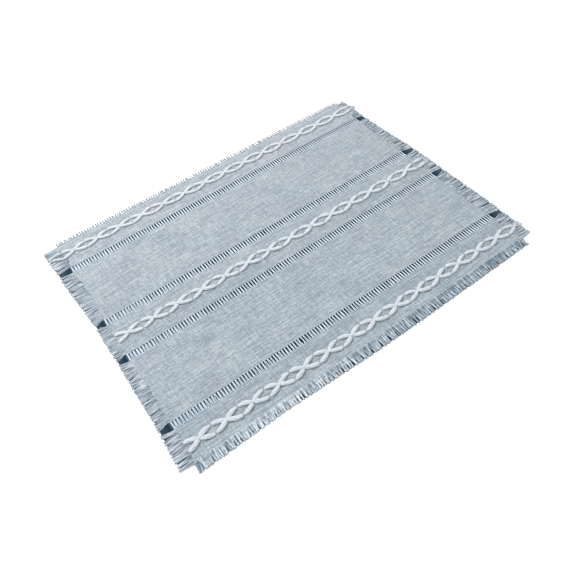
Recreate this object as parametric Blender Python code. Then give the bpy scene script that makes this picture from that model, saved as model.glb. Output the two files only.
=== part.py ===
"""Fringed cotton placemat with four openwork ladders and three rows of chain embroidery.

Metres, +Z up. The origin is at the bottom centre of the whole mat: +X runs along
the long side to the right, +Y to the far edge, and the mat lies flat on Z = 0.
"""
import math
import random

import bmesh
import bpy

# The panel, measured to the line where its outermost cross thread lies
BODY_LENGTH = 0.450
BODY_WIDTH = 0.346
CLOTH_THICKNESS = 0.0015
PIECE_GAP = 0.0003

# Openwork ladders: cross threads drawn out, the others left as bars.
# The real bars stand 3.63 mm apart; every second one is built, at the same share of gap.
LADDER_OFFSETS = (-0.1265, -0.0285, 0.0285, 0.1265)
LADDER_OPENING = 0.009
BAR_PITCH = 0.00726
BAR_WIDTH = 0.00363
SLOTS_IN_LADDER = 61

# Embroidered chains: two thick soft yarns that cross at the end of each link
CHAIN_OFFSETS = {"chain_near": -0.1545, "chain_middle": 0.0, "chain_far": 0.1545}
LINK_PITCH = 0.0316
FIRST_CROSSING = 0.0161
LINK_COUNT = 14
LINK_REACH = 0.0054
YARN_WIDTH = 0.0044
YARN_HEIGHT = 0.0026
KNOT_HALF_LENGTH = 0.0012
KNOT_YARN_WIDTH = 0.0026
KNOT_HEIGHT = 0.0022
SEGMENTS_IN_LINK = 6
PETAL_SWELL = 0.30
FLATTEST_SHARE = 0.45
YARN_END_WIDTH = 0.0018
YARN_END_SEGMENTS = 3
YARN_END_SWELL = 0.7
RIGHT_END_REACH = 0.0205
RIGHT_END_SPREAD = 0.0043
LEFT_END_REACH = 0.0185
LEFT_END_SPREAD = 0.0059
CHAINS_WITH_LEFT_ENDS = ("chain_far",)

# Section of a yarn from its outer foot over the top to its inner foot, flat below:
# (share of the width from the yarn's middle, share of the height).
# In a knot the inner side is upright, because there it meets the other yarn.
YARN_SECTION = ((0.32, 0.0), (0.50, 0.50), (0.10, 1.0), (-0.42, 0.80), (-0.32, 0.0))
KNOT_SECTION = ((0.32, 0.0), (0.50, 0.50), (0.10, 1.0), (-0.50, 1.0), (-0.50, 0.0))
SHARED_POINTS = (3, 4)

# Fringes: loose threads gathered into locks, rooted in a narrow strip of the panel's rim
STRIP_WIDTH = 0.002
STRANDS_ALONG_LENGTH = 74
STRANDS_ALONG_WIDTH = 66
ROOT_FILL = 0.78
TIP_WIDTH = 0.0022
MIDDLE_OF_STRAND = 0.55
MIDDLE_HEIGHT = 0.0012
TIP_HEIGHT = 0.0008
SIDEWAYS_DRIFT = 0.14
MIDDLE_DRIFT = 0.4
SHORTEST_SHARE = 0.80
STRANDS_PER_STRIP_POINT = 4
CORNER_MARGIN = 0.001

# How far each fringe reaches past the panel: (share along the side, reach in metres).
# The sides run counter-clockwise: near to far on the left, far to near on the right.
FRINGE_REACH = {
    "fringe_far": ((0.0, 0.0065), (0.5, 0.0075), (0.9, 0.0090), (1.0, 0.0080)),
    "fringe_near": ((0.0, 0.0110), (0.4, 0.0130), (0.55, 0.0125), (0.78, 0.0095),
                    (1.0, 0.0112)),
    "fringe_left": ((0.0, 0.0155), (0.2, 0.0125), (0.6, 0.0120), (0.8, 0.0165),
                    (1.0, 0.0190)),
    "fringe_right": ((0.0, 0.0120), (0.25, 0.0135), (0.4, 0.0178), (0.85, 0.0178),
                     (1.0, 0.0155)),
}
LONGEST_REACH = {name: max(reach for _, reach in rows) for name, rows in FRINGE_REACH.items()}

# The yarn ends on the right and the fringe on the left set the mat's outer box
CENTRE_X = (LONGEST_REACH["fringe_left"] - RIGHT_END_REACH) / 2
CENTRE_Y = (LONGEST_REACH["fringe_near"] - LONGEST_REACH["fringe_far"]) / 2

MATERIALS = {
    "woven_cotton": ((0.50, 0.57, 0.64, 1.0), 0.90),
    "loose_cotton_threads": ((0.45, 0.53, 0.61, 1.0), 0.92),
    "soft_cotton_yarn": ((0.86, 0.88, 0.93, 1.0), 0.95),
}


def clear_objects():
    for thing in list(bpy.data.objects):
        bpy.data.objects.remove(thing, do_unlink=True)


def make_material(name):
    colour, roughness = MATERIALS[name]
    material = bpy.data.materials.new(name)
    material.use_nodes = True
    surface = material.node_tree.nodes["Principled BSDF"]
    surface.inputs["Base Color"].default_value = colour
    surface.inputs["Roughness"].default_value = roughness
    surface.inputs["Metallic"].default_value = 0.0
    material.diffuse_color = colour
    return material


def add_piece(name, form, material, location, turn=0.0):
    """Turn a closed form into an object with its faces outwards, turned about Z."""
    bmesh.ops.triangulate(form, faces=form.faces[:], ngon_method="BEAUTY")
    bmesh.ops.recalc_face_normals(form, faces=form.faces[:])
    mesh = bpy.data.meshes.new(name)
    form.to_mesh(mesh)
    form.free()
    mesh.materials.append(material)
    piece = bpy.data.objects.new(name, mesh)
    piece.location = location
    piece.rotation_euler = (0.0, 0.0, turn)
    bpy.context.scene.collection.objects.link(piece)
    return piece


def between(rows, share):
    """Read a short table of (share, value) rows along straight lines."""
    for (low, first), (high, second) in zip(rows, rows[1:]):
        if share <= high:
            return first + (second - first) * (share - low) / (high - low)
    return rows[-1][1]


def add_cloth(material):
    """The woven panel inside its rim, cut through where the ladders are."""
    half_length = BODY_LENGTH / 2 - STRIP_WIDTH - PIECE_GAP
    half_width = BODY_WIDTH / 2 - STRIP_WIDTH - PIECE_GAP
    gap = BAR_PITCH - BAR_WIDTH
    columns = [-half_length]
    for slot in range(SLOTS_IN_LADDER):
        middle = (slot - (SLOTS_IN_LADDER - 1) / 2) * BAR_PITCH
        columns += [middle - gap / 2, middle + gap / 2]
    columns.append(half_length)
    rows = [-half_width]
    for offset in LADDER_OFFSETS:
        rows += [offset - LADDER_OPENING / 2, offset + LADDER_OPENING / 2]
    rows.append(half_width)

    form = bmesh.new()
    corners = [[form.verts.new((x, y, 0.0)) for x in columns] for y in rows]
    for row in range(len(rows) - 1):
        for column in range(len(columns) - 1):
            if row % 2 and column % 2:
                continue
            form.faces.new((
                corners[row][column], corners[row][column + 1],
                corners[row + 1][column + 1], corners[row + 1][column]))
    raised = bmesh.ops.extrude_face_region(form, geom=form.faces[:])
    tops = [item for item in raised["geom"] if isinstance(item, bmesh.types.BMVert)]
    bmesh.ops.translate(form, verts=tops, vec=(0.0, 0.0, CLOTH_THICKNESS))
    return add_piece("cloth", form, material, (CENTRE_X, CENTRE_Y, 0.0))


def yarn_ring(form, section, x, y, side, width, height):
    """The points round one yarn. Side is 1 for the upper yarn and -1 for the lower."""
    return [form.verts.new((x, side * (y + out * width), up * height)) for out, up in section]


def link_stations(start, first_step, last_step):
    """Stations of one link, from its start crossing: X, distance from the line, swell."""
    run = LINK_PITCH - 2 * KNOT_HALF_LENGTH
    stations = []
    for step in range(first_step, last_step):
        share = step / SEGMENTS_IN_LINK
        swell = 1.0 - PETAL_SWELL * abs(math.cos(2 * math.pi * share)) ** 3
        spread = KNOT_YARN_WIDTH / 2
        y = spread + (LINK_REACH - spread) * math.sin(math.pi * share)
        stations.append((start + KNOT_HALF_LENGTH + share * run, y, swell))
    return stations


def yarn_end_stations(x_from, x_to, y_from, y_to, swell):
    """Stations of a loose yarn end that thins towards its tip."""
    stations = []
    for step in range(1, YARN_END_SEGMENTS + 1):
        share = step / YARN_END_SEGMENTS
        thinned = swell + (YARN_END_WIDTH / YARN_WIDTH - swell) * share
        curve = share * share * (3 - 2 * share)
        stations.append((x_from + (x_to - x_from) * share, y_from + (y_to - y_from) * curve,
                         thinned))
    return stations


def bridge_rings(form, first, second, left_out=None):
    """Faces between two rings, without the one that starts at the left out point."""
    count = len(first)
    for index in range(count):
        if index == left_out:
            continue
        following = (index + 1) % count
        form.faces.new((first[index], first[following], second[following], second[index]))


def add_knot(form, x):
    """The short stretch where both yarns are pinched together; returns its four rings."""
    rings = {}
    for end in (-1, 1):
        place = x + end * KNOT_HALF_LENGTH
        pair = {}
        for side in (1, -1):
            pair[side] = yarn_ring(form, KNOT_SECTION, place, KNOT_YARN_WIDTH / 2, side,
                                   KNOT_YARN_WIDTH, KNOT_HEIGHT)
        weld = {pair[-1][index]: pair[1][index] for index in SHARED_POINTS}
        bmesh.ops.weld_verts(form, targetmap=weld)
        for index in SHARED_POINTS:
            pair[-1][index] = pair[1][index]
        rings[end] = pair
    for side in (1, -1):
        bridge_rings(form, rings[-1][side], rings[1][side], left_out=SHARED_POINTS[0])
    return rings


def add_yarn(form, side, stations, start_ring=None, end_ring=None):
    """One yarn through its stations, closed by a cap where it doesn't meet a knot."""
    rings = [start_ring] if start_ring else []
    for x, y, swell in stations:
        height = YARN_HEIGHT * (FLATTEST_SHARE + (1 - FLATTEST_SHARE) * swell)
        rings.append(yarn_ring(form, YARN_SECTION, x, y, side, YARN_WIDTH * swell, height))
    if end_ring:
        rings.append(end_ring)
    for first, second in zip(rings, rings[1:]):
        bridge_rings(form, first, second)
    if not start_ring:
        form.faces.new(rings[0])
    if not end_ring:
        form.faces.new(rings[-1])


def add_chain(name, material):
    """A row of lens-shaped links, open at its left end and frayed out at its right."""
    form = bmesh.new()
    left_edge = -BODY_LENGTH / 2
    crossings = [left_edge + FIRST_CROSSING + LINK_PITCH * link for link in range(LINK_COUNT + 1)]
    knots = [add_knot(form, x) for x in crossings]
    half = SEGMENTS_IN_LINK // 2
    for side in (1, -1):
        opening = link_stations(crossings[0] - LINK_PITCH, half, SEGMENTS_IN_LINK)
        if name in CHAINS_WITH_LEFT_ENDS:
            x, y, swell = opening[0]
            tip = left_edge - LEFT_END_REACH
            loose = yarn_end_stations(x, tip, y, LEFT_END_SPREAD, swell)
            opening = loose[::-1] + opening
        add_yarn(form, side, opening, end_ring=knots[0][-1][side])
        for link in range(LINK_COUNT):
            stations = link_stations(crossings[link], 1, SEGMENTS_IN_LINK)
            add_yarn(form, side, stations, start_ring=knots[link][1][side],
                     end_ring=knots[link + 1][-1][side])
        tip = BODY_LENGTH / 2 + RIGHT_END_REACH
        start = crossings[-1] + KNOT_HALF_LENGTH
        loose = yarn_end_stations(start, tip, KNOT_YARN_WIDTH / 2, RIGHT_END_SPREAD,
                                  YARN_END_SWELL)
        add_yarn(form, side, loose, start_ring=knots[-1][1][side])
    lift = CLOTH_THICKNESS + PIECE_GAP
    return add_piece(name, form, material, (CENTRE_X, CENTRE_Y + CHAIN_OFFSETS[name], lift))


def strand_ring(form, along, away, width, height):
    """Three points round a strand: two on the floor and one on its ridge."""
    return [form.verts.new((along - width / 2, away, 0.0)),
            form.verts.new((along + width / 2, away, 0.0)),
            form.verts.new((along, away, height))]


def strand_places(side_length, count, gaps):
    """Middles of the strands, leaving out those where a ladder's threads are drawn."""
    pitch = side_length / count
    places = [(index + 0.5) * pitch - side_length / 2 for index in range(count)]
    return [place for place in places
            if all(abs(place - gap) > LADDER_OPENING / 2 for gap in gaps)]


def strand_reaches(name, places, side_length, rng):
    """Length of each strand by the fringe's table, uneven, the longest one exactly as stated."""
    rows = FRINGE_REACH[name]
    reaches = []
    for place in places:
        uneven = 1.0 - (1.0 - SHORTEST_SHARE) * rng.random()
        reaches.append(between(rows, place / side_length + 0.5) * uneven)
    longest = max(range(len(reaches)), key=lambda index: reaches[index])
    reaches[longest] = LONGEST_REACH[name]
    return reaches


def add_fringe(name, side_length, count, gaps, material, location, turn, seed):
    """Locks of loose thread in a row, rooted in a strip. Local +X along it, +Y outwards."""
    rng = random.Random(seed)
    form = bmesh.new()
    pitch = side_length / count
    half = side_length / 2 - CORNER_MARGIN
    places = strand_places(side_length, count, gaps)
    reaches = strand_reaches(name, places, side_length, rng)

    def strip_corner(along, away):
        return [form.verts.new((along, away, up)) for up in (0.0, CLOTH_THICKNESS)]

    foot = [strip_corner(-half, 0.0)]
    inner = [strip_corner(-half, -STRIP_WIDTH)]
    for index, (place, reach) in enumerate(zip(places, reaches)):
        drift = rng.uniform(-SIDEWAYS_DRIFT, SIDEWAYS_DRIFT) * pitch
        root_width = pitch * ROOT_FILL
        root = strand_ring(form, place, 0.0, root_width, CLOTH_THICKNESS)
        middle_width = (root_width + TIP_WIDTH) / 2
        middle = strand_ring(form, place + drift * MIDDLE_DRIFT, reach * MIDDLE_OF_STRAND,
                             middle_width, MIDDLE_HEIGHT)
        tip = strand_ring(form, place + drift, reach, TIP_WIDTH, TIP_HEIGHT)
        bridge_rings(form, root, middle)
        bridge_rings(form, middle, tip)
        form.faces.new(tip)
        left, right, ridge = root
        form.faces.new((foot[-1][0], left, ridge, foot[-1][1]))
        foot += [[left, ridge], [right, ridge]]
        if index % STRANDS_PER_STRIP_POINT == 1:
            inner.append(strip_corner(place, -STRIP_WIDTH))
    end = strip_corner(half, 0.0)
    form.faces.new((foot[-1][0], end[0], end[1], foot[-1][1]))
    foot.append(end)
    inner.append(strip_corner(half, -STRIP_WIDTH))
    for first, second in zip(inner, inner[1:]):
        form.faces.new((first[0], second[0], second[1], first[1]))
    for pair in ((foot[0], inner[0]), (foot[-1], inner[-1])):
        form.faces.new((pair[0][0], pair[0][1], pair[1][1], pair[1][0]))
    form.faces.new([point[0] for point in foot] + [point[0] for point in inner[::-1]])
    ridge_line = [foot[0][1]] + [point[1] for point in foot[1:-1:2]] + [foot[-1][1]]
    form.faces.new(ridge_line + [point[1] for point in inner[::-1]])
    return add_piece(name, form, material, location, turn)


def add_fringes(material):
    """Four fringes on the panel's sides, the square at each corner left bare."""
    quarter = math.pi / 2
    half_length = BODY_LENGTH / 2
    half_width = BODY_WIDTH / 2
    ladders_up = LADDER_OFFSETS
    ladders_down = tuple(-offset for offset in LADDER_OFFSETS)
    inner_length = BODY_LENGTH - 2 * (STRIP_WIDTH + PIECE_GAP)
    add_fringe("fringe_far", inner_length, STRANDS_ALONG_LENGTH, (), material,
               (CENTRE_X, CENTRE_Y + half_width, 0.0), 0.0, seed=11)
    add_fringe("fringe_left", BODY_WIDTH, STRANDS_ALONG_WIDTH, ladders_up, material,
               (CENTRE_X - half_length, CENTRE_Y, 0.0), quarter, seed=12)
    add_fringe("fringe_near", inner_length, STRANDS_ALONG_LENGTH, (), material,
               (CENTRE_X, CENTRE_Y - half_width, 0.0), 2 * quarter, seed=13)
    add_fringe("fringe_right", BODY_WIDTH, STRANDS_ALONG_WIDTH, ladders_down, material,
               (CENTRE_X + half_length, CENTRE_Y, 0.0), -quarter, seed=14)


def build_placemat():
    clear_objects()
    add_cloth(make_material("woven_cotton"))
    add_fringes(make_material("loose_cotton_threads"))
    yarn = make_material("soft_cotton_yarn")
    for name in CHAIN_OFFSETS:
        add_chain(name, yarn)


build_placemat()
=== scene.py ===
import math
import random

import bpy
from mathutils import Matrix, Vector


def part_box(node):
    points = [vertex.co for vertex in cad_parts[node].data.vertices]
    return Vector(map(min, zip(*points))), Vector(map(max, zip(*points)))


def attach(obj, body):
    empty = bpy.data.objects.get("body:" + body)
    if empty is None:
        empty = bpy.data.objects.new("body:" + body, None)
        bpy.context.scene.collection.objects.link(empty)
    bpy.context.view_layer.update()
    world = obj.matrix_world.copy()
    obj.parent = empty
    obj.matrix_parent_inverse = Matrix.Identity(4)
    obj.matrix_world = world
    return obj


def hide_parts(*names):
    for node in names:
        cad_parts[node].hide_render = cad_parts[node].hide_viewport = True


bl_info = {
    "name": "Fringed Placemat",
    "version": (1, 0, 0),
    "blender": (4, 5, 0),
    "location": "View3D > Sidebar > Placemat",
    "description": "Builds a woven placemat with openwork ladders, chain embroidery and fringes",
    "category": "Add Mesh",
}

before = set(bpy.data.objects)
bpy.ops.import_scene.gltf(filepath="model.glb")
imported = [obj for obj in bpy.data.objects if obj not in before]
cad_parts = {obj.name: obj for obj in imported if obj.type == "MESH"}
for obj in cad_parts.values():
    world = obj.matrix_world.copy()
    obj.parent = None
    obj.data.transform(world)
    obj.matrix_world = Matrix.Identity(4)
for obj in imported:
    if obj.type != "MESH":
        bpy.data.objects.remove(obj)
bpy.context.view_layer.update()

MM = 0.001
CLOTH_LOW, CLOTH_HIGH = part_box("cloth")
# The fringes' strips hold the outermost 2.3 mm of the panel
RIM = 2.3 * MM
MIDDLE_X = (CLOTH_LOW.x + CLOTH_HIGH.x) / 2
MIDDLE_Y = (CLOTH_LOW.y + CLOTH_HIGH.y) / 2
HALF_LENGTH = (CLOTH_HIGH.x - CLOTH_LOW.x) / 2 + RIM
HALF_WIDTH = (CLOTH_HIGH.y - CLOTH_LOW.y) / 2 + RIM

# How high the cloth's faint waves rise, and how much thinner it is at its very edge
WAVE_HEIGHT = 0.08 * MM
EDGE_THINNING = 0.35 * MM

# Openwork ladders, by their place across the mat from its middle
LADDERS = {
    "ladder_near": -126.5 * MM,
    "ladder_near_centre": -28.5 * MM,
    "ladder_far_centre": 28.5 * MM,
    "ladder_far": 126.5 * MM,
}
# How slack each ladder's bars are at the mat's left end
SLACKNESS = {"ladder_near": 1.0, "ladder_near_centre": 0.8, "ladder_far_centre": 0.8,
             "ladder_far": 0.4}
BARS_IN_LADDER = 124
BAR_PITCH = 2 * HALF_LENGTH / BARS_IN_LADDER

# How much of the cloth's colour is that of its pale cross threads
WOVEN_SHARE = 0.378
# Across the mat in mm from its middle, how pale the cloth is: painted shade darkens the strips
# beside the chain rows. The higher, the paler
PAINTED_SHADE_ACROSS = ((-170, 0.50), (-160, 0.44), (-142, 0.35), (-124, 0.46), (-100, 0.46),
                   (-40, 0.43), (-24, 0.38), (-8, 0.38), (4, 0.43), (30, 0.44), (100, 0.43),
                   (140, 0.49), (170, 0.42))

# Along the mat in mm from its middle, how pale the near fringe's threads are
NEAR_FRINGE_TONES = ((-225, 0.50), (-165, 0.62), (-125, 0.80), (-80, 0.55), (-25, 0.42),
                     (10, 0.31), (225, 0.30))

# Chain rows: place across the mat, how deep the yarn dives where a link is widest (0 stays on
# top, 1 goes under the cloth), and how full it is, both at the row's left and right ends
CHAINS = {
    "chain_near": (-154.5 * MM, (1.0, 0.9), (1.03, 0.92)),
    "chain_middle": (0.0, (0.95, 0.85), (0.93, 0.98)),
    "chain_far": (154.5 * MM, (0.5, 0.4), (0.94, 0.94)),
}
# How much of the way to its last crossing the upper and the lower yarn of a row comes
LAST_CLOSING = {"chain_near": (1.0, 1.0), "chain_middle": (0.0, 0.45), "chain_far": (0.1, 0.9)}
LINKS_IN_CHAIN = 14

# Fringes: middle of the side, its turn, its length, then how far the threads reach past the
# cloth as (share along the side, reach). The sides run counter-clockwise.
FRINGES = {
    "fringe_far": ((0.0, HALF_WIDTH), 0.0, 2 * HALF_LENGTH, (
        (0.0, 7.6 * MM), (0.5, 8.4 * MM), (0.9, 9.6 * MM), (1.0, 9.0 * MM))),
    "fringe_left": ((-HALF_LENGTH, 0.0), math.pi / 2, 2 * HALF_WIDTH, (
        (0.0, 15.5 * MM), (0.2, 12.5 * MM), (0.6, 12.0 * MM), (0.8, 16.5 * MM),
        (1.0, 19.0 * MM))),
    "fringe_near": ((0.0, -HALF_WIDTH), math.pi, 2 * HALF_LENGTH, (
        (0.0, 11.0 * MM), (0.4, 13.0 * MM), (0.55, 12.5 * MM), (0.78, 9.5 * MM),
        (1.0, 11.2 * MM))),
    "fringe_right": ((HALF_LENGTH, 0.0), -math.pi / 2, 2 * HALF_WIDTH, (
        (0.0, 12.0 * MM), (0.25, 13.5 * MM), (0.4, 17.8 * MM), (0.85, 17.8 * MM),
        (1.0, 15.5 * MM))),
}

# The camera stands where the photograph was taken from
CAMERA_PLACE = (-0.2404, -0.3993, 0.5216)
CAMERA_AZIMUTH = math.radians(30.70)
CAMERA_ELEVATION = math.radians(52.44)
CAMERA_ROLL = math.radians(-6.31)
CAMERA_LENS = 35.97

# The sockets of a Mix node for colours: its factor, its two colours and its result
FACTOR, FIRST, SECOND, MIXED = 0, 6, 7, 2


def linear(hex_text):
    """An sRGB hex colour as linear red, green and blue."""
    channels = [int(hex_text[start:start + 2], 16) / 255 for start in (1, 3, 5)]
    return tuple(c / 12.92 if c <= 0.04045 else ((c + 0.055) / 1.055) ** 2.4 for c in channels)


def opaque(colour):
    """A linear colour with its alpha, as a node takes it."""
    return (*colour, 1.0)


class PlacematCloth(bpy.types.PropertyGroup):
    """Sizes of the cloth, its threads and its openwork."""
    thickness: bpy.props.FloatProperty(
        name="Cloth thickness", description="Thickness of the woven sheet",
        default=1.3 * MM, min=0.5 * MM, max=3.0 * MM, unit="LENGTH", precision=5)
    underside: bpy.props.FloatProperty(
        name="Underside height", description="Height of the cloth's back over the table",
        default=0.1 * MM, min=0.0, max=1.0 * MM, unit="LENGTH", precision=5)
    ladder_opening: bpy.props.FloatProperty(
        name="Ladder opening", description="Width of the band whose long threads are drawn out",
        default=9.9 * MM, min=4.0 * MM, max=15.0 * MM, unit="LENGTH", precision=5)
    thread_radius: bpy.props.FloatProperty(
        name="Thread radius", description="Radius of one cotton thread of the cloth",
        default=0.27 * MM, min=0.1 * MM, max=0.6 * MM, unit="LENGTH", precision=5)
    thread_spacing: bpy.props.FloatProperty(
        name="Thread spacing", description="Distance between neighbouring threads of the cloth",
        default=0.9 * MM, min=0.4 * MM, max=2.0 * MM, unit="LENGTH", precision=5)
    long_thread: bpy.props.FloatVectorProperty(
        name="Long threads", description="Colour of the threads that run along the mat",
        subtype="COLOR", size=3, min=0.0, max=1.0, default=linear("#7f8c96"))
    cross_thread: bpy.props.FloatVectorProperty(
        name="Cross threads", description="Colour of the threads that run across the mat",
        subtype="COLOR", size=3, min=0.0, max=1.0, default=linear("#c5cbd0"))
    bare_thread: bpy.props.FloatVectorProperty(
        name="Bare threads", description="Palest colour of cross threads that lie bare",
        subtype="COLOR", size=3, min=0.0, max=1.0, default=linear("#dfedf8"))


class PlacematChain(bpy.types.PropertyGroup):
    """Sizes of the chain embroidery."""
    link_pitch: bpy.props.FloatProperty(
        name="Link pitch", description="Length of one link of the chain",
        default=31.6 * MM, min=15.0 * MM, max=60.0 * MM, unit="LENGTH", precision=5)
    first_crossing: bpy.props.FloatProperty(
        name="First crossing", description="Distance from the cloth's left edge to a crossing",
        default=16.1 * MM, min=0.0, max=60.0 * MM, unit="LENGTH", precision=5)
    link_reach: bpy.props.FloatProperty(
        name="Link reach", description="How far the yarn bows out from the chain's line",
        default=5.4 * MM, min=2.0 * MM, max=12.0 * MM, unit="LENGTH", precision=5)
    yarn_radius: bpy.props.FloatProperty(
        name="Yarn radius", description="Half the yarn's width where it swells most",
        default=2.55 * MM, min=0.5 * MM, max=4.0 * MM, unit="LENGTH", precision=5)
    flattening: bpy.props.FloatProperty(
        name="Flattening", description="The laid yarn's height as a share of its width",
        default=0.54, min=0.3, max=1.0, subtype="FACTOR")
    yarn: bpy.props.FloatVectorProperty(
        name="Chain yarn", description="Colour of the soft yarn of the chains",
        subtype="COLOR", size=3, min=0.0, max=1.0, default=linear("#dae0e8"))


def add_node(tree, kind, inputs=None, **settings):
    """Add one node with its settings, and link each of its inputs or give it its value."""
    made = tree.nodes.new(kind)
    for name, value in settings.items():
        setattr(made, name, value)
    for socket, item in (inputs or {}).items():
        if isinstance(item, bpy.types.NodeSocket):
            tree.links.new(item, made.inputs[socket])
        else:
            made.inputs[socket].default_value = item
    return made


def new_material(name, roughness, sheen, specular=0.2):
    """A new material, its tree and its shader, with the gloss that is the same all over."""
    material = bpy.data.materials.new(name)
    material.use_nodes = True
    tree = material.node_tree
    surface = tree.nodes["Principled BSDF"]
    surface.inputs["Roughness"].default_value = roughness
    surface.inputs["Specular IOR Level"].default_value = specular
    surface.inputs["Sheen Weight"].default_value = sheen
    surface.inputs["Sheen Roughness"].default_value = 0.5
    return material, tree, surface


def dress(tree, surface, colour, relief, strength, depth):
    """Give a surface its colour, and bump it by a relief that is so many metres deep."""
    bump = add_node(tree, "ShaderNodeBump", {"Height": relief, "Strength": strength,
                                             "Distance": depth})
    tree.links.new(colour, surface.inputs["Base Color"])
    tree.links.new(bump.outputs["Normal"], surface.inputs["Normal"])


def stretched_noise(tree, place, sizes, detail=2.0):
    """Noise whose features are so many mm long along X, along Y and, if given, along Z."""
    features = [1 / (size * MM) for size in sizes] + [1.0]
    spread = add_node(tree, "ShaderNodeMapping", {"Vector": place, "Scale": features[:3]})
    return add_node(tree, "ShaderNodeTexNoise", {"Vector": spread.outputs["Vector"],
                                                 "Scale": 1.0, "Detail": detail}).outputs["Fac"]


def ramp(tree, place, axis, stops):
    """Colours that change along one axis of a place, from stops of (distance, colour)."""
    low, high = stops[0][0], stops[-1][0]
    parts = add_node(tree, "ShaderNodeSeparateXYZ", {"Vector": place})
    share = add_node(tree, "ShaderNodeMapRange", {"Value": parts.outputs[axis],
                                                  "From Min": low, "From Max": high})
    colours = add_node(tree, "ShaderNodeValToRGB", {"Fac": share.outputs["Result"]})
    elements = colours.color_ramp.elements
    while len(elements) < len(stops):
        elements.new(1.0)
    for element, (distance, colour) in zip(elements, stops):
        element.position = (distance - low) / (high - low)
        element.color = opaque(colour)
    return colours.outputs["Color"]


def chambray(cloth):
    """Cotton in plain weave, pale cross threads over blue-grey long threads.

    The eye sees a pale grey-blue cloth with fine streaks along the mat where its threads
    are thick or thin, fainter ones across it, and a matt, slightly ribbed surface.
    """
    material, tree, surface = new_material("chambray_plain_weave_cotton", 0.92, 0.1)
    place = add_node(tree, "ShaderNodeTexCoord").outputs["Object"]
    # Single threads, 0.9 mm apart, are too fine to show, so streaks are two threads wide
    pair = 2 * cloth.thread_spacing / MM
    long_slubs = stretched_noise(tree, place, (31.25, pair), 0.0)
    long_streaks = stretched_noise(tree, place, (6.667, pair / 0.9), 0.0)
    cross_slubs = stretched_noise(tree, place, (pair / 0.9, 16.67), 0.0)
    grain = stretched_noise(tree, place, (pair / 0.9, pair / 0.9), 0.0)
    beaten_closer = stretched_noise(tree, place, (50.0, 33.33), 1.0)
    # The ramp across the mat is painted shade, darker in strips beside the chain rows
    patterns = ((0.9, long_slubs), (0.7, long_streaks), (0.6, cross_slubs), (0.75, grain),
                (0.35, beaten_closer), (1.0, ramp(tree, place, "Y", [
                    (MIDDLE_Y + y * MM, (paleness, paleness, paleness)) for y, paleness in PAINTED_SHADE_ACROSS])))
    # Each pattern lies about 0.5 and shifts the share up and down from there
    share = WOVEN_SHARE - 0.5 * sum(strength for strength, _ in patterns)
    for strength, pattern in patterns:
        share = add_node(tree, "ShaderNodeMath", {0: pattern, 1: strength, 2: share},
                         operation="MULTIPLY_ADD").outputs[0]
    woven = add_node(tree, "ShaderNodeMix", {
        FACTOR: share, FIRST: opaque(cloth.long_thread), SECOND: opaque(cloth.cross_thread)},
                     data_type="RGBA").outputs[MIXED]
    # The dye is uneven: some places, and the far side, lean to lavender and others to a
    # colder blue
    colder, warmer = (
        add_node(tree, "ShaderNodeMix", {FACTOR: 0.16, FIRST: woven,
                                         SECOND: opaque(linear(shade))},
                 data_type="RGBA").outputs[MIXED]
        for shade in ("#9cbfcc", "#c8bdc6"))
    patches = stretched_noise(tree, place, (62.5, 45.45), 1.0)
    parts = add_node(tree, "ShaderNodeSeparateXYZ", {"Vector": place})
    dye = add_node(tree, "ShaderNodeMath", {0: parts.outputs["Y"], 1: 0.21 / HALF_WIDTH,
                                            2: patches}, operation="MULTIPLY_ADD").outputs[0]
    dyed = add_node(tree, "ShaderNodeMix", {FACTOR: dye, FIRST: colder, SECOND: warmer},
                    data_type="RGBA").outputs[MIXED]
    long_ribs = add_node(tree, "ShaderNodeMath", {0: long_streaks, 1: 0.7, 2: long_slubs},
                         operation="MULTIPLY_ADD").outputs[0]
    ribs = add_node(tree, "ShaderNodeMath", {0: long_ribs, 1: cross_slubs},
                    operation="ADD").outputs[0]
    dress(tree, surface, dyed, ribs, 0.4, 0.25 * MM)
    return material


def loose_thread(name, pale, dark, sizes, far_tips=None, tones=None):
    """Single spun cotton threads: matt, each of its own tone, with slanting spin grooves.

    The short tufts of the far side are darker where they leave the cloth, and the near
    side's threads are paler or bluer from place to place.
    """
    material, tree, surface = new_material(name, 0.9, 0.15)
    place = add_node(tree, "ShaderNodeTexCoord").outputs["Object"]
    # Noise stays near its middle, so it is spread to use both colours fully. The tones lie
    # about 0.5, which comes off before they are added.
    spread = add_node(tree, "ShaderNodeMath", {0: stretched_noise(tree, place, sizes),
                                               1: 3.0, 2: -1.5 if tones else -1.0},
                      operation="MULTIPLY_ADD").outputs[0]
    if tones:
        paler = ramp(tree, place, "X", [(MIDDLE_X + x * MM, (t, t, t)) for x, t in tones])
        spread = add_node(tree, "ShaderNodeMath", {0: spread, 1: paler},
                          operation="ADD").outputs[0]
    tone = add_node(tree, "ShaderNodeMix", {FACTOR: spread, FIRST: opaque(dark),
                                            SECOND: opaque(pale)},
                    data_type="RGBA").outputs[MIXED]
    if far_tips:
        parts = add_node(tree, "ShaderNodeSeparateXYZ", {"Vector": place})
        start = MIDDLE_Y + HALF_WIDTH + 2.0 * MM
        past = add_node(tree, "ShaderNodeMapRange", {
            "Value": parts.outputs["Y"], "From Min": start, "From Max": start + 1.6 * MM})
        tone = add_node(tree, "ShaderNodeMix", {FACTOR: past.outputs["Result"], FIRST: tone,
                                                SECOND: opaque(far_tips)},
                        data_type="RGBA").outputs[MIXED]
    # The grooves of the spin come round every 1.6 mm along a thread. The bands of a
    # diagonal wave are a fifth of pi apart where its scale is 1.
    grooves = add_node(tree, "ShaderNodeTexWave", {
        "Vector": place, "Scale": 0.2 * math.pi / (1.611 * MM), "Distortion": 1.5, "Detail": 1.0},
                       wave_type="BANDS", bands_direction="DIAGONAL")
    dress(tree, surface, tone, grooves.outputs["Fac"], 0.35, 0.1 * MM)
    return material


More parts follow.
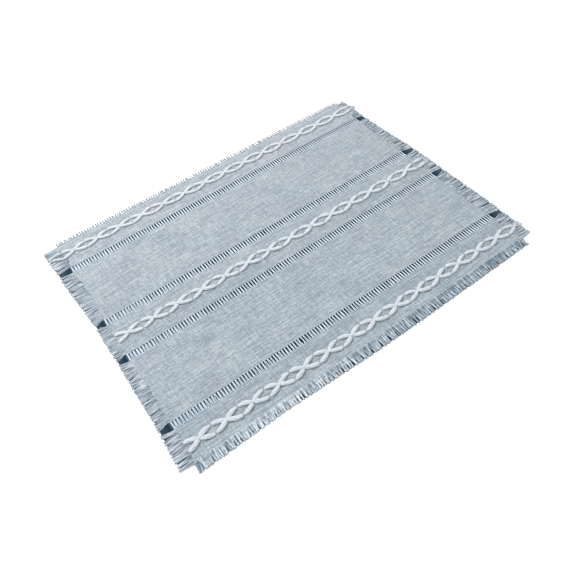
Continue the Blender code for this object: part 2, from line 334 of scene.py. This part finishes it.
def soft_roving(chain):
    """Soft cotton yarn with hardly any twist: near white, downy, with fine fibre lines."""
    material, tree, surface = new_material("soft_low_twist_cotton_yarn", 0.95, 0.25, 0.1)
    place = add_node(tree, "ShaderNodeTexCoord").outputs["Object"]
    fibres = stretched_noise(tree, place, (2.5, 1.25, 1.667), 1.0)
    clumps = stretched_noise(tree, place, (4.0, 2.857, 5.0), 0.0)
    share = -0.6
    for strength, pattern in ((0.8, clumps), (1.4, fibres)):
        share = add_node(tree, "ShaderNodeMath", {0: pattern, 1: strength, 2: share},
                         operation="MULTIPLY_ADD").outputs[0]
    shade = opaque(0.74 * channel for channel in chain.yarn)
    tone = add_node(tree, "ShaderNodeMix", {FACTOR: share, FIRST: shade,
                                            SECOND: opaque(chain.yarn)},
                    data_type="RGBA").outputs[MIXED]
    dress(tree, surface, tone, fibres, 0.8, 0.35 * MM)
    return material


def plain_paint(name, hex_text):
    """Plain matt paint of the stage."""
    material, _, surface = new_material(name, 1.0, 0.0, 0.0)
    surface.inputs["Base Color"].default_value = opaque(linear(hex_text))
    return material


def shaded_ground():
    """Matt paint of the ground, a dark table's colour deepened by painted shade, and shaded along
    the mat with painted light: lighter where light gets in.
    """
    material, tree, surface = new_material("ground_paint_with_painted_shade", 1.0, 0.0, 0.0)
    left, right = MIDDLE_X - HALF_LENGTH, MIDDLE_X + HALF_LENGTH
    # The darkest tones are painted shade under the mat; the lighter ones are painted light at the
    # ladders' left ends and past the short fringes
    shades = ((left - 13 * MM, "#3c4e5c"), (left - 1 * MM, "#1f3242"), (left + 2 * MM, "#687b8b"),
              (MIDDLE_X - 0.4 * HALF_LENGTH, "#1f3242"), (right, "#1f3242"),
              (right + 14 * MM, "#475866"))
    place = add_node(tree, "ShaderNodeTexCoord").outputs["Object"]
    shade = ramp(tree, place, "X", [(along, linear(shade)) for along, shade in shades])
    tree.links.new(shade, surface.inputs["Base Color"])
    return material


def activate(piece):
    """Make a piece the only one selected."""
    bpy.ops.object.select_all(action="DESELECT")
    piece.select_set(True)
    bpy.context.view_layer.objects.active = piece


def finish_piece(piece, material, slot, *stands_for):
    """Give a finished piece its material and body, and hide the nodes that it stands for. The
    slot is not used.
    """
    piece.data.materials.clear()
    piece.data.materials.append(material)
    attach(piece, "root")
    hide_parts(*stands_for)


def lay_threads(name, paths, profile=None, flattening=1.0, sides=6):
    """One closed mesh of tubes along paths of (X, Y, Z, radius, turn) points."""
    curve = bpy.data.curves.new(name, "CURVE")
    curve.dimensions = "3D"
    curve.twist_mode = "Z_UP"
    curve.use_fill_caps = True
    if profile:
        curve.bevel_mode = "OBJECT"
        curve.bevel_object = profile
    else:
        curve.bevel_depth = MM
        curve.bevel_resolution = sides // 2 - 2
    for path in paths:
        spline = curve.splines.new("POLY")
        spline.points.add(len(path) - 1)
        for point, (x, y, z, radius, turn) in zip(spline.points, path):
            point.co = (x, y, z / flattening, 1.0)
            point.radius = radius / MM
            point.tilt = turn
    piece = bpy.data.objects.new(name, curve)
    bpy.context.scene.collection.objects.link(piece)
    activate(piece)
    bpy.ops.object.convert(target="MESH")
    piece = bpy.context.view_layer.objects.active
    bpy.ops.object.mode_set(mode="EDIT")
    bpy.ops.mesh.select_all(action="SELECT")
    bpy.ops.mesh.remove_doubles(threshold=0.001 * MM)
    bpy.ops.object.mode_set(mode="OBJECT")
    if flattening != 1.0:
        bpy.ops.transform.resize(value=(1.0, 1.0, flattening))
        bpy.ops.object.transform_apply(location=False, rotation=False, scale=True)
    bpy.ops.object.shade_smooth()
    return piece


def between(rows, share):
    """Read a short table of (share, value) rows along straight lines."""
    for (low, first), (high, second) in zip(rows, rows[1:]):
        if share <= high:
            return first + (second - first) * (share - low) / (high - low)
    return rows[-1][1]


def eased(points, steps):
    """A smooth run of points through a few, with so many steps between two."""
    ends = [points[0], *points, points[-1]]
    run = [points[0]]
    for before, start, end, after in zip(ends, ends[1:], ends[2:], ends[3:]):
        for step in range(1, steps + 1):
            t = step / steps
            run.append(tuple(
                b + 0.5 * t * (c - a + t * (2 * a - 5 * b + 4 * c - d
                                            + t * (3 * b - a - 3 * c + d)))
                for a, b, c, d in zip(before, start, end, after)))
    return run


def smooth(share):
    """An even rise from 0 to 1."""
    share = min(1.0, max(0.0, share))
    return share * share * (3 - 2 * share)


def cloth_top(x, y, cloth):
    """Height of the cloth's face: flat, with faint waves, and thin along its edges."""
    edge = min(HALF_LENGTH - abs(x - MIDDLE_X), HALF_WIDTH - abs(y - MIDDLE_Y))
    waves = math.sin(x * 41 + 1.3) * math.sin(y * 53 + 0.4) + 0.5 * math.sin(x * 97 - y * 71)
    top = cloth.underside + cloth.thickness + WAVE_HEIGHT * waves * smooth(edge / (30 * MM))
    return top - EDGE_THINNING * (1 - smooth(edge / (4 * MM)))


def beside(name, along, away):
    """Where a point lies that is so far along a fringe's side and so far out from the cloth."""
    (out_x, out_y), turn, _, _ = FRINGES[name]
    cos, sin = math.cos(turn), math.sin(turn)
    return (MIDDLE_X + out_x + along * cos - away * sin,
            MIDDLE_Y + out_y + along * sin + away * cos)


def ladder_drift(x):
    """How far the ladders' lines stray across the mat, because woven threads never run true."""
    return (0.6 * (x - MIDDLE_X) / HALF_LENGTH - 0.2) * MM


class PLACEMAT_OT_woven_cloth(bpy.types.Operator):
    """Weave the cloth: a thin sheet that is open where the ladders' bars will cross"""
    bl_idname = "placemat.woven_cloth"
    bl_label = "Woven Cloth"

    # Distance between the mesh lines across the mat
    LINE_SPACING = 3.4 * MM
    # How many lines beside each short edge follow it as it wanders
    WANDERING_LINES = 6
    # How far each cut edge reaches into its opening at a bar, and between two bars
    REACH_AT_BAR, REACH_BETWEEN = 0.3 * MM, -0.2 * MM

    def execute(self, context):
        cloth = context.scene.placemat_cloth
        lines, open_rows = self.row_lines(cloth.ladder_opening)
        columns = 2 * BARS_IN_LADDER
        rows = len(lines) - 1
        bpy.ops.object.select_all(action="DESELECT")
        bpy.ops.mesh.primitive_grid_add(x_subdivisions=columns, y_subdivisions=rows, size=1.0)
        piece = context.view_layer.objects.active
        piece.name = piece.data.name = "woven_cloth"
        bpy.ops.object.mode_set(mode="EDIT")
        bpy.ops.mesh.select_mode(type="FACE")
        bpy.ops.mesh.select_all(action="DESELECT")
        bpy.ops.object.mode_set(mode="OBJECT")
        for polygon in piece.data.polygons:
            polygon.select = math.floor((polygon.center.y + 0.5) * rows) in open_rows
        self.place_vertices(piece, columns, lines, open_rows, cloth)
        bpy.ops.object.mode_set(mode="EDIT")
        bpy.ops.mesh.delete(type="FACE")
        bpy.ops.object.mode_set(mode="OBJECT")
        thickness = piece.modifiers.new("thickness", "SOLIDIFY")
        thickness.thickness = cloth.thickness
        thickness.offset = -1.0
        bpy.ops.object.modifier_apply(modifier=thickness.name)
        for vertex in piece.data.vertices:
            vertex.co.z = max(vertex.co.z, cloth.underside / 2)
        bpy.ops.object.shade_smooth_by_angle(angle=math.radians(40))
        finish_piece(piece, chambray(cloth), "woven_cotton", "cloth")
        return {"FINISHED"}

    def row_lines(self, opening):
        """Places of the mesh lines across the mat, and the rows that are open."""
        edges = [-HALF_WIDTH]
        for place in LADDERS.values():
            edges += [place - opening / 2, place + opening / 2]
        edges.append(HALF_WIDTH)
        lines = [edges[0]]
        open_rows = set()
        for index, (low, high) in enumerate(zip(edges, edges[1:])):
            if index % 2:
                open_rows.add(len(lines) - 1)
                lines.append(high)
                continue
            steps = round((high - low) / self.LINE_SPACING)
            lines += [low + (high - low) * step / steps for step in range(1, steps + 1)]
        return lines, open_rows

    def place_vertices(self, piece, columns, lines, open_rows, cloth):
        """Move the grid's lines to their places, with the cut edges scalloped by the bars."""
        rng = random.Random(21)
        pitch = 2 * HALF_LENGTH / columns
        last = len(lines) - 1
        for vertex in piece.data.vertices:
            column = round((vertex.co.x + 0.5) * columns)
            row = round((vertex.co.y + 0.5) * last)
            x = MIDDLE_X - HALF_LENGTH + column * pitch
            y = MIDDLE_Y + lines[row]
            if 0 < row < last:
                y += ladder_drift(x)
            # Odd lines are a bar's middle and even ones a slot's
            reach = self.REACH_AT_BAR if column % 2 else self.REACH_BETWEEN
            if row in open_rows:
                y += reach
            elif row - 1 in open_rows:
                y -= reach
            # The short edges wander, and the lines beside them follow more and more weakly
            from_end = min(column, columns - column)
            if from_end < self.WANDERING_LINES:
                wander = 0.9 * math.sin(y * 110 + 1) + 0.6 * math.sin(y * 290) - 1.2
                wander *= 1 - from_end / self.WANDERING_LINES
                if from_end == 0:
                    wander += rng.uniform(-1.0, 0.6)
                x += wander * MM * (-1 if column < columns / 2 else 1)
            if row in (0, last):
                y += rng.uniform(-1.6, 0.6) * MM * (1 if row else -1)
            vertex.co = (x, y, cloth_top(x, y, cloth))


class PLACEMAT_OT_ladder_bars(bpy.types.Operator):
    """Lay the ladders' bars: bundles of the cross threads that are left"""
    bl_idname = "placemat.ladder_bars"
    bl_label = "Ladder Bars"

    THREADS_IN_BAR = 4
    FLATTENING = 0.7
    # Along a bar, from the near end to the far end: place from the ladder's middle as a share
    # of half its opening, how far the threads spread, and their depth under the cloth's face.
    # The near ends lie on the cloth as short pale lines before they sink in.
    STATIONS = (
        (-1.95, 2.1, 0.42), (-1.65, 2.05, 0.10), (-1.30, 2.0, 0.04), (-1.05, 1.9, 0.10),
        (-0.80, 1.5, 0.22), (-0.35, 1.1, 0.32), (0.25, 0.85, 0.34), (0.80, 0.7, 0.28),
        (1.05, 0.75, 0.14), (1.25, 1.1, 0.10), (1.5, 1.7, 0.42))

    def execute(self, context):
        cloth = context.scene.placemat_cloth
        material = loose_thread("drawn_cross_threads_cotton", cloth.bare_thread,
                                tuple(0.8 * c for c in cloth.bare_thread), (3.571, 16.67))
        rng = random.Random(22)
        for name, place in LADDERS.items():
            paths = []
            for bar in range(BARS_IN_LADDER):
                middle = MIDDLE_X - HALF_LENGTH + (bar + 0.5) * BAR_PITCH
                slack = SLACKNESS[name] * (0.5 - (middle - MIDDLE_X) / HALF_LENGTH / 2)
                paths += self.bar_threads(middle, MIDDLE_Y + place, slack, cloth, rng)
            piece = lay_threads(name, paths, flattening=self.FLATTENING)
            finish_piece(piece, material, "woven_cotton", "cloth")
        return {"FINISHED"}

    def bar_threads(self, middle, ladder_y, slack, cloth, rng):
        """Paths of one bar's threads, side by side where they are free."""
        middle += rng.uniform(-0.12, 0.12) * MM
        lean = rng.uniform(-0.14, 0.14) * MM
        radius = cloth.thread_radius
        half = cloth.ladder_opening / 2
        pitch = radius * (1.5 + 0.7 * slack ** 2)
        paths = []
        for thread in range(self.THREADS_IN_BAR):
            out = (thread - (self.THREADS_IN_BAR - 1) / 2) * pitch
            stray = rng.gauss(0.0, 0.4) * slack * MM
            path = []
            for share, spread, depth in self.STATIONS:
                x = middle + lean * share + out * spread
                x += stray * max(0.0, 1 - (share + 0.1) ** 2)
                y = ladder_y + share * half + ladder_drift(x)
                z = cloth_top(x, y, cloth) - depth * MM - 0.5 * radius
                path.append((x, y, z, radius * rng.uniform(0.92, 1.08), 0.0))
            paths.append(path)
        return paths


class PLACEMAT_OT_fringes(bpy.types.Operator):
    """Fray the four sides: loose threads that gather into locks"""
    bl_idname = "placemat.fringes"
    bl_label = "Fringes"

    LAYERS = 4
    # A lock's least and greatest width in mm, how far its threads gather (least, greatest),
    # the share of their reach where they start to, and what is left of it at the tips
    LOCKS = {
        "fringe_far": (2.9, 4.3, 0.8, 1.0, 0.12, 1.0),
        "fringe_left": (1.4, 3.8, 0.0, 0.36, 0.0, 0.8),
        "fringe_near": (2.0, 4.2, 0.1, 0.8, 0.22, 0.6),
        "fringe_right": (1.4, 4.4, 0.0, 0.5, 0.0, 0.8),
    }
    # How far in mm the threads beside each ladder's empty place lean into it, near to far,
    # and how far the last ones lean out past the far corner
    CLOSINGS = {
        "fringe_left": (5.4, 4.4, 4.2, 2.0, 2.5),
        "fringe_right": (2.8, 4.4, 4.8, 1.9, 7.0),
    }
    # How quickly that lean fades away from an empty place
    CLOSING_FADE = 3.5 * MM
    # How much lower each layer lies at the root than the one on it
    LAYER_DROP = 0.18 * MM
    # Threads still woven along each side, the first beside the cloth
    EDGE_THREADS = 4
    # Share of a thread's reach, and its height there in mm
    STATIONS = ((-0.32, 0.9), (-0.12, 1.18), (0.10, 1.12), (0.35, 0.85), (0.62, 0.55),
                (0.85, 0.40), (1.0, 0.32))

    def execute(self, context):
        cloth = context.scene.placemat_cloth
        pale = cloth.cross_thread
        # The tone varies from thread to thread, so its features are narrow across the threads
        cross = loose_thread("loose_cross_threads_cotton", tuple(1.45 * c for c in pale),
                             linear("#7c92a2"), (1.667, 16.67), tones=NEAR_FRINGE_TONES)
        along = loose_thread("loose_long_threads_cotton", tuple(1.28 * c for c in pale),
                             linear("#788b9c"), (16.67, 2.0))
        tufts = loose_thread("tufted_cross_threads_cotton", tuple(1.2 * c for c in pale),
                             tuple(0.92 * c for c in pale), (1.667, 16.67),
                             far_tips=linear("#717b84"))
        materials = {"fringe_far": tufts, "fringe_near": cross}
        for seed, name in enumerate(FRINGES, start=31):
            rng = random.Random(seed)
            paths = self.thread_paths(name, cloth, rng) + self.edge_paths(name, cloth, rng)
            finish_piece(lay_threads(name + "_threads", paths, sides=4),
                         materials.get(name, along), "loose_threads", name)
        return {"FINISHED"}

    def locks_along(self, name, rng):
        """The locks of one side in order: end, middle, gather and lean of each."""
        length = FRINGES[name][2]
        least, most, slack, tight = self.LOCKS[name][:4]
        locks = []
        start = -length / 2
        while start < length / 2:
            end = start + rng.uniform(least, most) * MM
            middle = (start + end) / 2 + rng.uniform(-0.3, 0.3) * MM
            locks.append((end, middle, rng.uniform(slack, tight), rng.uniform(-0.09, 0.09)))
            start = end
        return locks

    def nearest_gap(self, name, along):
        """Way along the side to the nearest ladder's empty place, and the lean into it."""
        if name not in self.CLOSINGS:
            return math.inf, 0.0
        sin = math.sin(FRINGES[name][1])
        places = (*LADDERS.values(), HALF_WIDTH + 5.0 * MM)
        return min(((sin * place - along, closing)
                    for place, closing in zip(places, self.CLOSINGS[name])),
                   key=lambda gap: abs(gap[0]))

    def on_side(self, name, along, away, z, radius):
        """A path's point, from its place along a side and how far out it is."""
        return (*beside(name, along, away), max(z, radius), radius, 0.0)

    def thread_paths(self, name, cloth, rng):
        """Paths of all the loose threads of one side, in layers."""
        _, _, length, reaches = FRINGES[name]
        gather_start, tip_gather = self.LOCKS[name][4:]
        locks = self.locks_along(name, rng)
        count = round(length / cloth.thread_spacing)
        paths = []
        for index in range(count * self.LAYERS):
            layer = index % self.LAYERS
            along = (index + 0.5) * length / (count * self.LAYERS) - length / 2
            along += rng.uniform(-0.12, 0.12) * MM
            side, strength = self.nearest_gap(name, along)
            clearance = abs(side) - cloth.ladder_opening / 2
            if clearance < 0:
                continue
            closing = strength * MM * math.exp(-clearance / self.CLOSING_FADE)
            closing = math.copysign(closing, side) * rng.uniform(0.5, 1.0)
            _, middle, gather, lean = next((lock for lock in locks if along < lock[0]), locks[-1])
            reach = between(reaches, along / length + 0.5) * rng.uniform(0.88, 1.02)
            # The lowest layer's threads are broken off shorter
            if layer == 0:
                reach *= rng.uniform(0.6, 1.0)
            stray = rng.gauss(0.0, 0.3) * MM
            radius = cloth.thread_radius * rng.uniform(0.9, 1.2)
            root = rng.uniform(0.0, 1.0)
            path = []
            for share, height in self.STATIONS:
                hold = smooth((share - gather_start) / 0.4)
                hold *= 1.0 + (tip_gather - 1.0) * smooth((share - 0.62) / 0.38)
                loose = max(share, 0.0)
                a = along + (middle - along) * gather * hold
                a += lean * reach * loose + stray * loose + closing * loose ** 1.5
                away = share * reach if share > 0 else share * 10 * MM * (0.4 + root)
                lift = height * MM - self.LAYER_DROP * (self.LAYERS - 1 - layer) * (1 - loose)
                path.append(self.on_side(name, a, away, lift, radius))
            paths.append(path)
        return paths

    def edge_paths(self, name, cloth, rng):
        """Paths of the last threads woven along the side, which are slack and broken."""
        half = FRINGES[name][2] / 2
        paths = []
        for line in range(self.EDGE_THREADS):
            start = -half
            while start < half - 6 * MM:
                end = min(half, start + rng.uniform(8, 55 - 10 * line) * MM)
                steps = max(3, round((end - start) / (2.5 * MM)))
                wander = [rng.uniform(-0.35, 0.35) * MM for _ in range(steps + 1)]
                paths.append([])
                for step in range(steps + 1):
                    along = start + (end - start) * step / steps
                    if abs(self.nearest_gap(name, along)[0]) < cloth.ladder_opening / 2:
                        paths.append([])
                        continue
                    away = (0.2 + 0.85 * line) * MM + wander[step]
                    paths[-1].append(self.on_side(name, along, away, (1.5 - 0.07 * line) * MM,
                                                  0.95 * cloth.thread_radius))
                start = end + rng.uniform(0.0, 9.0 * line) * MM
        return [path for path in paths if len(path) > 2]


class PLACEMAT_OT_chains(bpy.types.Operator):
    """Embroider the chains: two soft yarns that cross at the end of each link"""
    bl_idname = "placemat.chains"
    bl_label = "Chain Embroidery"

    STEPS_IN_LINK = 52
    LOBES = 5
    # The yarns' ends, in links from the first crossing
    START, END = -0.5, LINKS_IN_CHAIN + 0.16
    # Half the stretch that a yarn runs under the cloth, and how long it takes to go down
    # before the link's middle and to come up past it, in mm
    DIVE_BOTTOM = 0.4
    DIVE_SLOPES = (1.3, 1.8)
    # How much a yarn narrows to a point at its dive and over how many mm, before the link's
    # middle and past it, for the upper and the lower yarn
    POINTS = {1: ((0.46, 7.2), (0.4, 6.5)), -1: ((0.22, 4.2), (0.4, 6.5))}
    # The same at a crossing, before the link's middle and past it
    WAISTS = ((0.36, 2.8), (0.36, 5.0))
    # How far a yarn is bedded into the cloth, and how far its top runs below that in a dive
    BEDDING = 0.25 * MM
    DIVE_DEPTH = 0.7 * MM
    # How high in mm a yarn rises to pass over the other and to pass beneath it, and how far
    # from their crossing it begins to
    OVER, BENEATH = 0.95, -0.15
    CROSSING_REACH = 3.2 * MM
    # Radius of the thickest wisp in mm, and how many there are beside each yarn's end
    WISP_RADIUS = 0.5
    WISPS = 6
    # The far row's yarns run on past the left edge: places along and across the mat from the
    # edge and the row, height and radius, all in mm
    LOOSE_ENDS = (
        ((1.5, 4.2, 1.6, 0.7), (-1.0, 4.0, 2.6, 1.3), (-5.0, 4.6, 2.6, 1.7),
         (-10.0, 4.6, 2.2, 1.5), (-15.0, 3.6, 1.4, 0.6)),
        ((2.5, -6.4, 2.2, 1.3), (-2.0, -6.0, 2.6, 1.6), (-6.5, -3.4, 2.6, 1.8),
         (-11.5, -0.9, 2.3, 1.6), (-17.0, -0.3, 1.4, 0.7)),
    )

    def execute(self, context):
        chain = context.scene.placemat_chain
        cloth = context.scene.placemat_cloth
        material = soft_roving(chain)
        rng = random.Random(41)
        profile = self.lobed_profile()
        for name in CHAINS:
            paths = [self.yarn_path(name, side, chain, cloth, rng) for side in (1, -1)]
            piece = lay_threads(name + "_yarn", paths, profile, chain.flattening)
            wisps = lay_threads(name + "_wisps", self.wisp_paths(name, chain, rng))
            activate(piece)
            wisps.select_set(True)
            bpy.ops.object.join()
            finish_piece(piece, material, "soft_yarn", name)
        bpy.data.objects.remove(profile, do_unlink=True)
        return {"FINISHED"}

    def lobed_profile(self):
        """Section of a yarn of a few soft plies, 1 mm in radius."""
        curve = bpy.data.curves.new("yarn_section", "CURVE")
        curve.dimensions = "2D"
        spline = curve.splines.new("POLY")
        count = 4 * self.LOBES
        spline.points.add(count - 1)
        spline.use_cyclic_u = True
        for index, point in enumerate(spline.points):
            # Clockwise, so that the yarn's faces point outwards
            angle = -2 * math.pi * index / count
            radius = MM * (0.92 + 0.12 * math.cos(self.LOBES * angle))
            point.co = (radius * math.cos(angle), radius * math.sin(angle), 0.0, 1.0)
        profile = bpy.data.objects.new("yarn_section", curve)
        bpy.context.scene.collection.objects.link(profile)
        return profile

    def bow(self, link, closing):
        """How far out a yarn bows at a place in its links, as a share of the most."""
        number = math.floor(link)
        bow = math.sin(math.pi * (link - number))
        if link > LINKS_IN_CHAIN - 0.5:
            bow = 1 - closing * (1 - (0.75 if number >= LINKS_IN_CHAIN else 1.0) * bow)
        # The lens is a little fuller than a sine
        return 0.88 * bow + 0.12 * bow ** 0.5

    def narrowed(self, swell, side, dive, past_middle, from_crossing):
        """A yarn's fullness once it has narrowed for its dive and for its crossings."""
        past = int(past_middle > 0)
        narrowing, taper = self.POINTS[side][past]
        swell *= 1 - narrowing * dive * (1 - smooth(abs(past_middle) / (taper * MM)))
        narrowing, taper = self.WAISTS[past]
        return swell * (1 - narrowing * (1 - smooth(from_crossing / (taper * MM))))

    def yarn_path(self, name, side, chain, cloth, rng):
        """Path of one yarn, from its start in the first half link to its last crossing."""
        place, dives, fullness = CHAINS[name]
        closing = LAST_CLOSING[name][0 if side > 0 else 1]
        pitch = chain.link_pitch
        first = MIDDLE_X - HALF_LENGTH + chain.first_crossing
        steps = round((self.END - self.START) * self.STEPS_IN_LINK)
        swells = [rng.uniform(0.94, 1.05) for _ in range(2 * LINKS_IN_CHAIN + 6)]
        bows = [rng.uniform(0.93, 1.06) for _ in range(LINKS_IN_CHAIN + 3)]
        path = []
        for step in range(steps + 1):
            link = self.START + (self.END - self.START) * step / steps
            number = math.floor(link)
            share = link - number
            x = first + link * pitch
            out = side * chain.link_reach * bows[number + 1] * self.bow(link, closing)
            y = MIDDLE_Y + place + out
            from_crossing = min(share, 1 - share) * pitch
            past_middle = (share - 0.5) * pitch
            dive, full = (left_end + (right_end - left_end) * link / LINKS_IN_CHAIN
                          for left_end, right_end in (dives, fullness))
            # The yarn dives abruptly, comes up again as a point, and swells until it
            # narrows for the next crossing
            rise = abs(past_middle) - self.DIVE_BOTTOM * MM
            rise /= self.DIVE_SLOPES[int(past_middle > 0)] * MM
            under = dive * (1 - smooth(rise)) if link < LINKS_IN_CHAIN else 0.0
            swell = full * swells[math.floor(2 * link) + 3]
            swell = self.narrowed(swell, side, dive, past_middle, from_crossing)
            # The last ends are frayed and thin
            swell *= 1 - 0.55 * smooth((link - self.END + 0.2) / 0.2)
            radius = chain.yarn_radius * swell * (1 - 0.7 * under)
            height = radius * chain.flattening
            # Past the cloth's right edge the yarn sinks towards the table
            top = cloth_top(x, y, cloth)
            top -= 1.0 * MM * smooth((x - MIDDLE_X - HALF_LENGTH) / (14.0 * MM))
            # At a crossing the yarns take turns to pass over
            over = (number + (1 if share > 0.5 else 0)) % 2 == (0 if side > 0 else 1)
            near_crossing = 1 - smooth(from_crossing / self.CROSSING_REACH)
            lift = (self.OVER if over else self.BENEATH) * MM * near_crossing
            z = top - self.BEDDING + height + lift - under * (height * 2 + self.DIVE_DEPTH)
            if step in (0, steps):
                radius *= 0.55
            path.append((x, y, max(z, 0.1 * MM + height), radius, 4.0 * link))
        return path

    def wisp_paths(self, name, chain, rng):
        """Paths of the fine ends that a yarn frays into past the cloth's short edges."""
        place = CHAINS[name][0]
        paths = []
        last = MIDDLE_X - HALF_LENGTH + chain.first_crossing + LINKS_IN_CHAIN * chain.link_pitch
        for side in (1, -1):
            for _ in range(self.WISPS):
                start = last + rng.uniform(-2.0, 3.0) * MM
                tip = MIDDLE_X + HALF_LENGTH + rng.uniform(14.0, 20.0) * MM
                y_from = MIDDLE_Y + place + side * rng.uniform(0.2, 1.2) * MM
                y_to = MIDDLE_Y + place + side * rng.uniform(0.5, 4.6) * MM
                paths.append(self.wisp(start, tip, y_from, y_to, rng))
        if name == "chain_far":
            edge = MIDDLE_X - HALF_LENGTH
            for end in self.LOOSE_ENDS:
                paths.append([(edge + x * MM, MIDDLE_Y + place + y * MM, z * MM, radius * MM, 0.0)
                              for x, y, z, radius in eased(end, 4)])
            for _ in range(4):
                y = MIDDLE_Y + place + rng.uniform(-1.0, 7.0) * MM
                paths.append(self.wisp(edge - rng.uniform(3.0, 8.0) * MM,
                                       edge - rng.uniform(16.0, 18.3) * MM, y,
                                       y + rng.uniform(-1.0, 1.0) * MM, rng))
        return paths

    def wisp(self, start, tip, y_from, y_to, rng):
        """One fine strand that leaves the yarn, wanders and ends on the table."""
        bend = rng.uniform(-1.0, 1.0) * MM
        radius = rng.uniform(0.6, 1.0) * self.WISP_RADIUS * MM
        path = []
        for step in range(9):
            share = step / 8
            x = start + (tip - start) * share
            y = y_from + (y_to - y_from) * smooth(share) + bend * math.sin(math.pi * 1.5 * share)
            z = (2.0 - 1.5 * smooth(share * 1.3)) * MM
            path.append((x, y, z, radius * (1 - 0.5 * share), 0.0))
        return path


class PLACEMAT_OT_stage(bpy.types.Operator):
    """Set the stage: a pale floor, a dark ground of painted shade under the mat, soft light and
    the camera
    """
    bl_idname = "placemat.stage"
    bl_label = "Stage"

    # The dark ground, painted shade under the mat, ends this far inside the threads' tips, so
    # that only the gaps show it
    GROUND_INSETS = {"fringe_far": 6.0 * MM, "fringe_left": 1.8 * MM, "fringe_near": 1.1 * MM,
                     "fringe_right": 1.6 * MM}
    GROUND_HEIGHT = 0.03 * MM
    FLOOR_HEIGHT = -0.05 * MM
    FLOOR_SIZE = 12.0
    WORLD_LIGHT = 0.78
    LAMP_PLACE = (-0.40, 0.95, 1.15)
    LAMP_SIZE = 0.8
    LAMP_POWER = 17.0

    def execute(self, context):
        bpy.ops.object.select_all(action="DESELECT")
        bpy.ops.mesh.primitive_plane_add(size=self.FLOOR_SIZE,
                                         location=(0.0, 0.0, self.FLOOR_HEIGHT))
        floor = context.view_layer.objects.active
        floor.name = "studio_floor"
        floor.data.materials.append(plain_paint("pale_floor_paint", "#fafafa"))
        self.dark_ground_and_shade()
        self.add_camera(context)
        self.add_lights(context)
        context.scene.view_settings.view_transform = "Standard"
        return {"FINISHED"}

    def dark_ground_and_shade(self):
        """A thin dark sheet under the mat, cut to the fringes' outline: a dark table's colour and
        painted shade, seen only through the mat's gaps.
        """
        inset = 2 * MM
        points = [(MIDDLE_X + x, MIDDLE_Y + y, self.GROUND_HEIGHT)
                  for x in (inset - HALF_LENGTH, HALF_LENGTH - inset)
                  for y in (inset - HALF_WIDTH, HALF_WIDTH - inset)]
        faces = [(0, 2, 3, 1)]
        for name, (_, _, length, reaches) in FRINGES.items():
            for step in range(25):
                share = step / 24
                along = (share - 0.5) * (length - 2 * inset)
                for away in (-inset, between(reaches, share) - self.GROUND_INSETS[name]):
                    points.append((*beside(name, along, away), self.GROUND_HEIGHT))
                if step:
                    last = len(points) - 1
                    faces.append((last - 3, last - 1, last, last - 2))
        mesh = bpy.data.meshes.new("dark_ground_and_shade")
        mesh.from_pydata(points, [], faces)
        ground = bpy.data.objects.new("dark_ground_and_shade", mesh)
        bpy.context.scene.collection.objects.link(ground)
        mesh.materials.append(shaded_ground())
        return ground

    def add_camera(self, context):
        """Stand the camera where the photograph was taken from."""
        forward = Vector((math.sin(CAMERA_AZIMUTH) * math.cos(CAMERA_ELEVATION),
                          math.cos(CAMERA_AZIMUTH) * math.cos(CAMERA_ELEVATION),
                          -math.sin(CAMERA_ELEVATION)))
        level = forward.cross(Vector((0.0, 0.0, 1.0))).normalized()
        right = Matrix.Rotation(-CAMERA_ROLL, 3, forward) @ level
        up = right.cross(forward)
        camera = bpy.data.objects.new("camera", bpy.data.cameras.new("camera"))
        context.scene.collection.objects.link(camera)
        camera.data.lens = CAMERA_LENS
        camera.data.sensor_width = 36.0
        camera.data.clip_start = 0.01
        turned = Matrix((right, up, -forward)).transposed().to_4x4()
        camera.matrix_world = Matrix.Translation(CAMERA_PLACE) @ turned
        context.scene.camera = camera

    def add_lights(self, context):
        """Even white light all round, and a large soft lamp beyond the mat's far left."""
        world = bpy.data.worlds.new("studio_world")
        world.use_nodes = True
        background = world.node_tree.nodes["Background"]
        background.inputs["Color"].default_value = (1.0, 1.0, 1.0, 1.0)
        background.inputs["Strength"].default_value = self.WORLD_LIGHT
        context.scene.world = world
        bpy.ops.object.light_add(type="AREA", location=self.LAMP_PLACE)
        lamp = context.view_layer.objects.active
        lamp.name = "soft_lamp"
        lamp.data.shape = "DISK"
        lamp.data.size = self.LAMP_SIZE
        lamp.data.energy = self.LAMP_POWER
        lamp.rotation_euler = (-lamp.location).to_track_quat("-Z", "Y").to_euler()


OPERATORS = (PLACEMAT_OT_stage, PLACEMAT_OT_woven_cloth, PLACEMAT_OT_ladder_bars,
             PLACEMAT_OT_fringes, PLACEMAT_OT_chains)


class PLACEMAT_PT_sidebar(bpy.types.Panel):
    """Sizes, colours and steps of the placemat"""
    bl_idname = "PLACEMAT_PT_sidebar"
    bl_label = "Placemat"
    bl_space_type = "VIEW_3D"
    bl_region_type = "UI"
    bl_category = "Placemat"

    def draw(self, context):
        for group in (context.scene.placemat_cloth, context.scene.placemat_chain):
            for name in group.__annotations__:
                self.layout.prop(group, name)
        for operator in OPERATORS:
            self.layout.operator(operator.bl_idname)


CLASSES = (PlacematCloth, PlacematChain, *OPERATORS, PLACEMAT_PT_sidebar)


def register():
    for item in CLASSES:
        bpy.utils.register_class(item)
    bpy.types.Scene.placemat_cloth = bpy.props.PointerProperty(type=PlacematCloth)
    bpy.types.Scene.placemat_chain = bpy.props.PointerProperty(type=PlacematChain)


def unregister():
    del bpy.types.Scene.placemat_chain
    del bpy.types.Scene.placemat_cloth
    for item in reversed(CLASSES):
        bpy.utils.unregister_class(item)


def main():
    register()
    bpy.ops.placemat.stage()
    bpy.ops.placemat.woven_cloth()
    bpy.ops.placemat.ladder_bars()
    bpy.ops.placemat.fringes()
    bpy.ops.placemat.chains()


if __name__ == "__main__":
    main()
